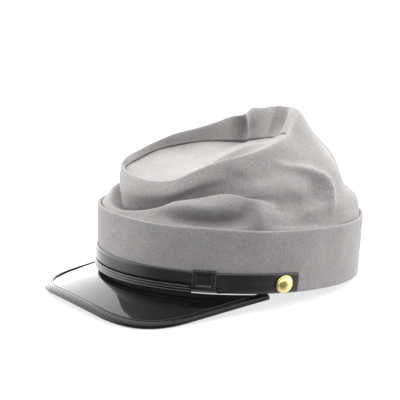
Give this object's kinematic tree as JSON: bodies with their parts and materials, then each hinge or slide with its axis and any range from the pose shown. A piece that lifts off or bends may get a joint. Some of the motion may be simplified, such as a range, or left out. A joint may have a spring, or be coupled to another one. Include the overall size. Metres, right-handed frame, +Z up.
{
  "type": "kepi cap",
  "caption": "Grey felt kepi with a soft crown slumped forward over its sunken round top, a black patent peak, a chin strap with a slide, and domed brass buttons.",
  "frame": {"origin": "centre of the bounding box in plan, on the surface that the cap rests on", "axes": "+Z up; the cap faces -Y with its peak; the wearer's left, where the slide is, is +X"},
  "size_m": [0.181, 0.2415, 0.1274],
  "materials": {
    "grey_felt": "napped wool felt, mottled mid grey, matte",
    "black_patent": "black patent sheet with a mirror gloss",
    "black_strap": "smooth black leather cloth with a soft gloss",
    "button_brass": "polished pale brass"
  },
  "bodies": {
    "root": {"band": "grey_felt", "crown": "grey_felt", "crown_top": "grey_felt", "peak": "black_patent", "peak_binding": "black_patent", "peak_welt": "black_patent", "strap_front": "black_strap", "strap_rear": "black_strap", "strap_slide": "black_strap", "button_left": "button_brass", "button_right": "button_brass"}
  },
  "joints": []
}
